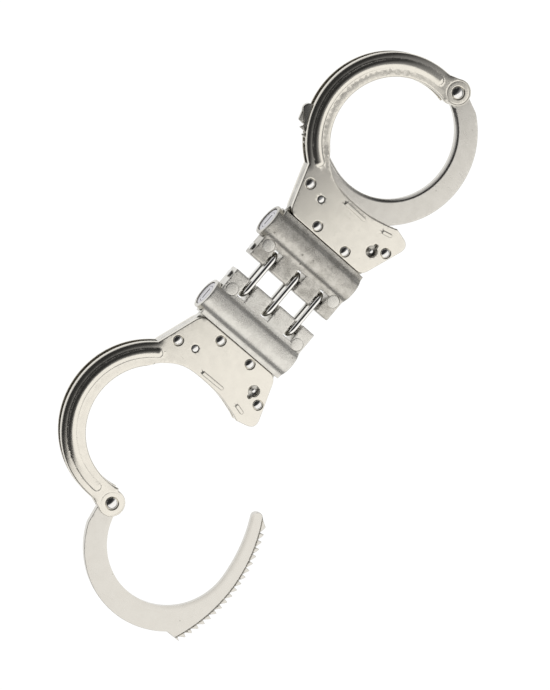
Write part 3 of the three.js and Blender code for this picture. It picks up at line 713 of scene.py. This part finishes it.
def jawLoops():
    outer = circle(jaw["outerCentre"], jaw["outerRadius"])
    inner = circle(jaw["innerCentre"], jaw["innerRadius"])
    sector = toothOutline()
    # the teeth stand on a ring about the pivot, which starts with a slanted shoulder
    low, high = jawRoot - jaw["tipWidth"] + 0.5, jaw["tipRadius"] + 1
    ring = np.concatenate([arc(jawPivot, high, jaw["firstTooth"] - 0.2, lastTooth, 1.0),
                           arc(jawPivot, low, lastTooth, jaw["firstTooth"] + 3, 1.0)])
    narrowAngles = np.linspace(jaw["tipStart"], lastTooth - 12, 60)
    narrowing = np.array([polar(jawPivot, narrowReach(degrees), degrees) for degrees in narrowAngles])
    hollow = np.concatenate([narrowing,
                             arc(jawPivot, jawRoot / 2, lastTooth - 12, jaw["tipStart"] + 20, 20)])
    tipRound = circle(polar(jawPivot, jawRoot - jaw["tipWidth"] / 2, lastTooth), jaw["tipWidth"] / 2)
    lug = circle(jawPivot, jaw["lugRadius"])
    hole = circle(jawPivot, jaw["hole"], 0.4)

    def inside(p):
        strand = (contains([outer], p) | contains([ring], p)) & contains([sector], p)
        strand &= ~contains([inner], p) & ~contains([hollow], p)
        return (strand | contains([lug], p) | contains([tipRound], p)) & ~contains([hole], p)

    return outlineOf([outer, inner, split(sector), split(ring), hollow, tipRound, lug, hole], inside)


def jawFace(p, distance, innerWidth, innerDrop):
    about = p - np.array(jawPivot)
    radius = np.linalg.norm(about, axis=1)
    angle = np.degrees(np.arctan2(about[:, 1], about[:, 0]))
    inTeeth = smooth((jaw["firstTooth"] + 1.5 - angle) / 1.5)
    z = np.full(len(p), jaw["half"])
    # the face falls towards the teeth, then a groove and the thinner tooth strip
    inward = (jaw["slopeWidth"] - (jaw["stepRadius"] - radius)) / jaw["slopeWidth"]
    z -= inTeeth * jaw["slopeDrop"] * np.clip(inward, 0, 1) ** 1.3
    z -= inTeeth * jaw["grooveDepth"] * smooth(1 - np.abs(radius - jaw["stepRadius"]) / jaw["grooveHalf"])
    # rounding along the inner edge
    fromInner = np.linalg.norm(p - np.array(jaw["innerCentre"]), axis=1) - jaw["innerRadius"]
    fromTip = radius - narrowReach(angle)
    nearer = (angle < jaw["tipStart"]) & (fromTip < fromInner)
    fromInner = np.where(nearer, np.maximum(fromTip, 0), fromInner)
    nearInner = (fromInner < innerWidth) & (np.linalg.norm(about, axis=1) > jaw["lugRadius"])
    drop = innerDrop * np.clip((innerWidth - fromInner) / innerWidth, 0, 1) ** 1.6
    z -= np.where(nearInner, drop, 0)
    z -= edgeDrop(np.where(nearInner, noEdge, distance), jaw["edge"])
    return np.maximum(z, 0.4)


def jawTop(p, distance):
    return jawFace(p, distance, jaw["innerFront"], jaw["innerFrontDrop"])


def jawBottom(p, distance):
    return -jawFace(p, distance, jaw["innerRear"], jaw["innerRearDrop"])


def jawGuides(loops):
    guides = [insetPoints(loops, edgeRings(jaw["edge"], 4))]
    guides += rows(jaw["innerCentre"], jaw["innerRadius"] + np.linspace(0.15, 2.0, 9), -140, 60, 0.7)
    tipInner = jawRoot - jaw["tipWidth"]
    guides += rows(jawPivot, tipInner + np.linspace(0.15, 2.0, 9), lastTooth - 3, jaw["tipStart"], 0.7)
    line = jaw["stepRadius"]
    end = lastTooth - 2
    guides += rows(jawPivot, line + np.array([-0.4, -0.3, -0.2, -0.1, 0, 0.1, 0.2, 0.3]), end, -75, 0.7)
    guides += rows(jawPivot, line - np.linspace(0.8, 5.0, 7), end, jaw["firstTooth"] + 3, 1.0)
    return guides


def swing(points, degrees):
    turn = np.array(Matrix.Rotation(math.radians(degrees), 3, "Z"))
    pivot = np.array([*jawPivot, 0])
    return (points - pivot) @ turn.T + pivot


jawOutline = jawLoops()
jawSolid = heightSolid(jawOutline, jawTop, jawBottom, jawGuides(jawOutline))
for side, degrees in (("a", 0), ("b", jaw["openAngle"])):
    swung = (swing(jawSolid[0], degrees), jawSolid[1])
    finishPiece(solidPiece(f"{side}Jaw", swung, side), f"{side}_jaw",
                finishes["jaw_plate"], [f"{side}_jaw"], 42)
print("jaws made", len(jawSolid[1]))

# rivets and pins
lockRivet = {"head": 2.32, "foot": 4.75, "dome": 0.92, "shank": 1.5}
pivotRivet = {"head": 3.0, "foot": 4.8, "dome": 1.15, "shank": 2.0}
pinDome = 0.22
postDome = 0.25


def rivetSolid(head, foot, dome, shank):
    size = (head ** 2 + dome ** 2) / (2 * dome)
    widest = math.degrees(math.asin(head / size))
    cap = [(size * math.sin(math.radians(widest * k / 8)),
            foot + dome - size * (1 - math.cos(math.radians(widest * k / 8)))) for k in range(9)]
    foot = faceZ + 0.02
    rim = [(radius, max(height, foot)) for radius, height in cap if height > foot]
    seat = [(rim[-1][0], foot), (shank, foot)]
    upper = [*rim, *seat]
    lower = [(radius, -height) for radius, height in upper]
    return lathe([*lower, *reversed(upper)])


for side in "ab":
    pieces = {f"LockRivet{letter.upper()}": (place, rivetSolid(**lockRivet), f"lock_rivet_{letter}")
              for letter, place in rivetPlaces.items()}
    pieces["PivotRivet"] = (jawPivot, rivetSolid(**pivotRivet), "pivot_rivet")
    half = pawlPin["half"]
    pin = domedPin(pawlPin["radius"], -half, half, pinDome, pinDome)
    pieces["PawlPin"] = (pawlPin["at"], pin, "pawl_pin")
    half = keyhole["postHalf"]
    post = domedPin(keyhole["post"], -half, half, postDome, postDome)
    pieces["KeyPost"] = (keyhole["at"], post, "key_post")
    for label, (place, (points, faces), node) in pieces.items():
        obj = solidPiece(side + label, (points + np.array([*place, 0]), faces), side)
        finishPiece(obj, f"cuff_{side}", finishes["rivet"], [f"{side}_{node}"])
print("rivets and pins made")

# casting: link block, barrel and flange
casting = {
    "left": -24.3, "right": 28.0, "blockEdge": 4.7, "flangeEnd": 32.6, "flangeHalf": 4.5, "blockHalf": 4.9,
    "notchHalf": 2.5, "notchEnd": 14.6, "shoulder": 1.3, "edge": 0.35, "notchRim": 0.3, "neckAngle": 47,
    "dowelXs": (-19.8, 24.1), "dowelY": 13.9, "dowelRadius": 3.2, "dowelDepth": 2.4, "boreRadius": 6.72,
    "boreEnd": -3.1, "rodHole": 2.15, "rodSink": 0.7, "rodSinkRim": 0.75, "boltX": -4.6,
    "boltHalf": 1.45, "shoulderDrop": 0.62,
}
linkXs = [middleLink["x"] + k * middleLink["pitch"] for k in (-1, 0, 1)]


def castingCorners():
    c = casting
    corners, radii = [(c["left"], c["blockEdge"])], [0.5]
    for x in linkXs:
        corners += [(x - c["notchHalf"], c["blockEdge"]), (x - c["notchHalf"], c["notchEnd"]),
                    (x + c["notchHalf"], c["notchEnd"]), (x + c["notchHalf"], c["blockEdge"])]
        radii += [0.35, 0.4, 0.4, 0.35]
    low, high = barrel["y"] - barrel["radius"], barrel["y"] + barrel["radius"]
    corners += [(c["right"], c["blockEdge"]), (c["right"], low), (barrel["right"], low),
                (barrel["right"], high), (c["right"], high), (c["right"], c["flangeEnd"]),
                (c["left"], c["flangeEnd"]), (c["left"], high), (barrel["left"], high),
                (barrel["left"], low), (c["left"], low)]
    radii += [0.5, 0, 0.12, 0.12, 0, 0, 0, 0, 0.45, 0.45, 0]
    return split(roundedPolygon(corners, radii, 0.15), 0.8)


def filletTable(flat):
    angle = math.radians(casting["neckAngle"])
    start = np.array([barrel["radius"] * math.sin(math.pi / 2 - angle), barrel["radius"] * math.sin(angle)])
    bend = np.array([start[0] + (start[1] - flat) * math.tan(angle), flat])
    end = np.array([bend[0] + (bend[0] - start[0]) * 1.15, flat])
    t = np.linspace(0, 1, 24)[:, None]
    return (1 - t) ** 2 * start + 2 * t * (1 - t) * bend + t * t * end


fillets = {1: filletTable(casting["flangeHalf"]), -1: filletTable(casting["blockHalf"])}


def castingTop(p, distance):
    c = casting
    x, y = p[:, 0], p[:, 1]
    fromEnd = np.minimum(x - barrel["left"], barrel["right"] - x)
    reach = barrel["radius"] - edgeDrop(fromEnd, barrel["edge"])
    offset = y - barrel["y"]
    z = np.sqrt(np.maximum(reach ** 2 - offset ** 2, 0.0016))
    inBody = (x > c["left"] - 1e-4) & (x < c["right"] + 1e-4)
    for sign, table in fillets.items():
        neck = np.interp(np.abs(offset), table[:, 0], table[:, 1])
        beyond = np.abs(offset) >= table[0, 0]
        neck -= edgeDrop(np.minimum(x - c["left"], c["right"] - x), c["edge"])
        if sign < 0:
            neck -= c["shoulderDrop"] * np.clip(1 - (y - c["blockEdge"]) / c["shoulder"], 0, 1) ** 1.4
            neck -= edgeDrop(y - c["blockEdge"], 0.3)
            rim = np.min([np.hypot(np.maximum(np.abs(x - at) - c["notchHalf"], 0),
                                   np.maximum(y - c["notchEnd"], 0)) for at in linkXs], 0)
            neck -= edgeDrop(rim, c["notchRim"])
        else:
            neck -= edgeDrop(c["flangeEnd"] - y, 0.25)
        use = inBody & beyond & (np.sign(offset) == sign)
        z = np.where(use, np.where(np.abs(offset) < barrel["radius"], np.maximum(z, neck), neck), z)
    return z


def castingBottom(p, distance):
    return -castingTop(p, distance)


def castingGuides(loops):
    c = casting
    rowXs = np.arange(barrel["left"] + 0.05, barrel["right"], 1.5)
    ends = [barrel["left"] + d for d in edgeRings(barrel["edge"], 4)]
    ends += [barrel["right"] - d for d in edgeRings(barrel["edge"], 4)]
    ends += [c["left"] - 0.012, c["left"] + 0.012, c["right"] - 0.012, c["right"] + 0.012]
    ends += [c["left"] + d for d in edgeRings(c["edge"], 4)]
    ends += [c["right"] - d for d in edgeRings(c["edge"], 4)]
    ys = [barrel["y"] + barrel["radius"] * math.sin(math.radians(a)) for a in np.arange(-87, 88, 3)]
    for sign, table in fillets.items():
        ys += list(barrel["y"] + sign * table[::2, 0])
    ys += [c["flangeEnd"] - d for d in edgeRings(0.25, 3)]
    ys += [c["blockEdge"] + d for d in edgeRings(c["shoulder"], 6)] + [11.6, 13.2]
    xs = np.concatenate([rowXs, ends])
    guides = [np.stack(np.meshgrid(xs, np.array(ys)), -1).reshape(-1, 2)]
    guides.append(insetPoints(loops, [0.05, *edgeRings(c["notchRim"], 4)]))
    for x in [at + side * (c["notchHalf"] + d) for at in linkXs for side in (-1, 1)
              for d in (0.02, *edgeRings(c["notchRim"], 4))]:
        guides.append(np.stack([np.full(24, x), np.linspace(c["blockEdge"], c["notchEnd"], 24)], 1))
    return guides


castingOutline = [castingCorners()]
castingSolid = heightSolid(castingOutline, castingTop, castingBottom, castingGuides(castingOutline), 3)


def barSolid(y, radius, left, right):
    points, faces = lathe([(0, left), (radius, left), (radius, right), (0, right)], 64)
    return alongX(points, y), faces


def dowelSolid(x, radius, low, high):
    points, faces = lathe([(0, low), (radius, low), (radius, high), (0, high)], 48)
    return points + np.array([x, casting["dowelY"], 0]), faces


def boxSolid(low, high):
    x, y, z = zip(low, high)
    points = np.array([(x[i & 1], y[i >> 1 & 1], z[i >> 2]) for i in range(8)], float)
    faces = [(0, 2, 3, 1), (4, 5, 7, 6), (0, 1, 5, 4), (2, 6, 7, 3), (0, 4, 6, 2), (1, 3, 7, 5)]
    return points, faces


def joinSolids(solids):
    points, faces, start = [], [], 0
    for made, rest in solids:
        points.append(made)
        faces += [tuple(start + k for k in face) for face in rest]
        start += len(made)
    return np.concatenate(points), faces


depth = casting["blockHalf"] - casting["dowelDepth"] - 0.1
cuts = [barSolid(barrel["y"], casting["boreRadius"], barrel["left"] - 1, casting["boreEnd"]),
        barSolid(rodY, casting["rodHole"] + casting["rodSinkRim"], casting["left"] - 1,
                 casting["left"] + casting["rodSink"]),
        barSolid(rodY, casting["rodHole"], casting["left"] - 1, casting["right"] - 1.6)]
cuts += [dowelSolid(x, casting["dowelRadius"] + 0.08, low, high) for x in casting["dowelXs"]
         for low, high in ((depth, 7), (-7, -depth))]
boltX, boltHalf = casting["boltX"], casting["boltHalf"]
boltRoom = boxSolid((boltX - boltHalf, rodY, -boltHalf), (boltX + boltHalf, barrel["y"], boltHalf))
for side in "ab":
    block = solidPiece(f"{side}Barrel", castingSolid, side)
    carve(block, [solidPiece("cutter", joinSolids(cuts), side), solidPiece("cutter", boltRoom, side)])
    finish = {"a": "casting_worn", "b": "casting"}[side]
    finishPiece(block, f"cuff_{side}", finishes[finish], [f"{side}_casting"], 40)
    core = newObject(f"{side}Core", [], [])
    core.data = nodes[f"{side}_casting"].data.copy()
    shape = bmesh.new()
    shape.from_mesh(core.data)
    bmesh.ops.remove_doubles(shape, verts=shape.verts, dist=1e-7)
    shape.to_mesh(core.data)
    shape.free()
    keepBox = solidPiece("keep", boxSolid((-60, casting["flangeEnd"], -9), (60, 90, 9)), side)
    carve(core, [keepBox], "INTERSECT")
    finishPiece(core, f"cuff_{side}", finishes[finish], [f"{side}_casting"], 30)
print("castings made", len(castingSolid[1]))

# lock face, rods, dowels and links
lock = {"left": -27.1, "right": -6.1, "shell": 6.6, "plug": 4.45, "plugBody": 4.3, "slotHalf": 0.5,
        "slotReach": 2.9, "slotDepth": 15, "chamfer": 0.35, "tailRadius": 1.6, "tailEnd": -3.4}
rod = {"radius": 2.05, "left": -25.8, "right": 26.1, "waist": 1.35, "waistHalf": 1.6, "leftDome": 0.8,
       "rightDome": 0.3}
for side in "ab":
    c = lock["chamfer"]
    ring = [(lock["plug"], lock["left"] + 0.15), (lock["plug"] + 0.15, lock["left"]),
            (lock["shell"] - c, lock["left"]), (lock["shell"], lock["left"] + c),
            (lock["shell"], lock["right"]), (lock["plug"], lock["right"]),
            (lock["plug"], lock["left"] + 0.15)]
    points, faces = lathe(ring, 72)
    shell = solidPiece(f"{side}LockShell", (alongX(points, barrel["y"]), faces), side)
    shape = bmesh.new()
    shape.from_mesh(shell.data)
    bmesh.ops.remove_doubles(shape, verts=shape.verts, dist=1e-8)
    shape.to_mesh(shell.data)
    shape.free()
    finishPiece(shell, f"cuff_{side}", finishes["lock_shell"], [f"{side}_lock_shell"])
    plugProfile = [(0, lock["left"]), (lock["plugBody"] - 0.15, lock["left"]),
                   (lock["plugBody"], lock["left"] + 0.15), (lock["plugBody"], lock["right"] - 0.5),
                   (lock["tailRadius"], lock["right"] - 0.5), (lock["tailRadius"], lock["tailEnd"]),
                   (0, lock["tailEnd"])]
    points, faces = lathe(plugProfile, 64)
    plug = solidPiece(f"{side}LockPlug", (alongX(points, barrel["y"]), faces), side)
    reach, half = lock["slotReach"], lock["slotHalf"]
    way = boxSolid((lock["left"] - 1, barrel["y"] - reach, -half),
                   (lock["left"] + lock["slotDepth"], barrel["y"] + reach, half))
    carve(plug, [solidPiece("cutter", way, side)])
    finishPiece(plug, f"{side}_plug", finishes["lock_plug"], [f"{side}_lock_plug"])
    waist = (rod["waist"], casting["boltX"] - rod["waistHalf"], casting["boltX"] + rod["waistHalf"])
    points, faces = domedPin(rod["radius"], rod["left"], rod["right"], rod["leftDome"],
                             rod["rightDome"], waist)
    obj = solidPiece(f"{side}LinkRod", (alongX(points, rodY), faces), side)
    finishPiece(obj, f"cuff_{side}", finishes["rod"], [f"{side}_link_rod"])
    for x, where in zip(casting["dowelXs"], ("Left", "Right")):
        for face, flip in (("Front", False), ("Rear", True)):
            inner, outer = casting["blockHalf"] - casting["dowelDepth"], casting["blockHalf"]
            points, faces = domedPin(casting["dowelRadius"], inner, outer + 0.01, 0.1, 0.14)
            points = points + np.array([x, casting["dowelY"], 0])
            dowel = solidPiece(f"{side}{where}Dowel{face}", (points, faces), side, flip)
            finishPiece(dowel, f"cuff_{side}", finishes["dowel"],
                        [f"{side}_dowel_{where.lower()}_{face.lower()}"])


def linkSolid(x, wire, bend, sides=28, bendSteps=22, straightSteps=10):
    path = []
    for end in (1, -1):
        for k in range(bendSteps + 1):
            angle = math.pi / 2 - math.pi * k / bendSteps
            y = end * (rodY + bend * math.cos(angle))
            z = end * bend * math.sin(angle)
            path.append((y, z, end * math.cos(angle), end * math.sin(angle)))
        for k in range(1, straightSteps):
            t = k / straightSteps
            path.append((end * rodY * (1 - 2 * t), -end * bend, 0, -end))
    points, faces = [], []
    for k, (y, z, outY, outZ) in enumerate(path):
        for s in range(sides):
            angle = 2 * math.pi * s / sides
            out, sideways = wire * math.cos(angle), wire * math.sin(angle)
            points.append((x + sideways, y + outY * out, z + outZ * out))
            n, m = (k + 1) % len(path), (s + 1) % sides
            faces.append((k * sides + s, k * sides + m, n * sides + m, n * sides + s))
    return np.array(points), faces


for number, x in enumerate(linkXs, 1):
    link = solidPiece(f"wireLink{number}", linkSolid(x, middleLink["wire"], middleLink["bend"]), "a")
    finishPiece(link, "links", finishes["wire_link"], [f"link_{number}"])
print("lock faces, rods, dowels and links made")

# mechanism pieces that keep their own shape
kept = {"pawl": "mechanism", "double_lock_slide": "mechanism", "pawl_spring": "spring_steel",
        "slide_spring": "spring_steel", "lock_cam": "mechanism", "rod_bolt": "mechanism"}
for side in "ab":
    for node, finish in kept.items():
        obj = nodes[f"{side}_{node}"]
        obj.data.materials.clear()
        obj.data.materials.append(finishes[finish])
        weld = obj.modifiers.new("weld", "WELD")
        weld.merge_threshold = 1e-7
        soft = obj.modifiers.new("soft", "BEVEL")
        soft.width = 0.12 * mm
        soft.segments = 2
        soft.angle_limit = math.radians(50)

# floor, light and camera
floor = newObject("floor", [(-2, -2, 0), (2, -2, 0), (2, 2, 0), (-2, 2, 0)], [(0, 1, 2, 3)])
floor.location.z = -0.0004
white = bpy.data.materials.new("white floor")
white.use_nodes = True
white.node_tree.nodes.clear()
glow = nodeIn(white.node_tree, "ShaderNodeEmission", in_1=1.05)
glow.inputs[0].default_value = (1, 1, 1, 1)
out = white.node_tree.nodes.new("ShaderNodeOutputMaterial")
white.node_tree.links.new(glow.outputs[0], out.inputs[0])
floor.data.materials.append(white)

# the softbox's near edge is given from the hinge's centre
softbox = {"height": 0.3417, "edge": (0.0757, 0.0184), "turn": -15, "width": 1.1, "length": 1.4,
           "glow": 0.95}
turn = math.radians(softbox["turn"])
panel = bpy.data.lights.new("softbox", "AREA")
panel.shape = "RECTANGLE"
panel.size, panel.size_y = softbox["width"], softbox["length"]
panel.energy = softbox["glow"] * math.pi * softbox["width"] * softbox["length"]
panel.color = (1.0, 0.985, 0.96)
lamp = bpy.data.objects.new("softbox", panel)
centre = Vector(hinge * mm)
halfWidth = softbox["width"] / 2
lamp.location = centre + Vector((softbox["edge"][0] + halfWidth * math.cos(turn),
                                 softbox["edge"][1] + halfWidth * math.sin(turn), softbox["height"]))
lamp.rotation_euler = (0, 0, turn)
scene.collection.objects.link(lamp)

world = bpy.data.worlds.new("room")
scene.world = world
world.use_nodes = True
sky = world.node_tree
direction = nodeIn(sky, "ShaderNodeTexCoord")
parts = nodeIn(sky, "ShaderNodeSeparateXYZ")
sky.links.new(direction.outputs["Generated"], parts.inputs[0])
lowSky = spread(sky, parts.outputs[2], 0.62, 0.35)
leftSide = spread(sky, parts.outputs[0], -0.3, -0.7)
overhead = spread(sky, parts.outputs[0], -0.2, 0.3)
strength = maths(sky, "MULTIPLY", maths(sky, "MULTIPLY", lowSky, leftSide), 0.75)
strength = maths(sky, "ADD", strength, maths(sky, "MULTIPLY", overhead, 0.28))
strength = maths(sky, "ADD", strength, 0.03)
background = sky.nodes["Background"]
background.inputs[0].default_value = (0.98, 0.98, 1.0, 1)
sky.links.new(strength, background.inputs[1])

view = {"lens": 159.7, "offset": (-0.45286, -0.06797, 1.43215), "right": (0.7202, 0.6442, 0.2575),
        "up": (-0.6199, 0.7642, -0.1783), "back": (-0.3117, -0.0313, 0.9497)}
camera = bpy.data.cameras.new("camera")
camera.lens = view["lens"]
camera.sensor_width = 36
camera.clip_start = 0.1
camera.clip_end = 10
viewer = bpy.data.objects.new("camera", camera)
axes = Matrix((view["right"], view["up"], view["back"])).transposed()
viewer.matrix_world = Matrix.Translation(centre + Vector(view["offset"])) @ axes.to_4x4()
scene.collection.objects.link(viewer)
scene.camera = viewer
scene.view_settings.view_transform = "Standard"
print("stage made")
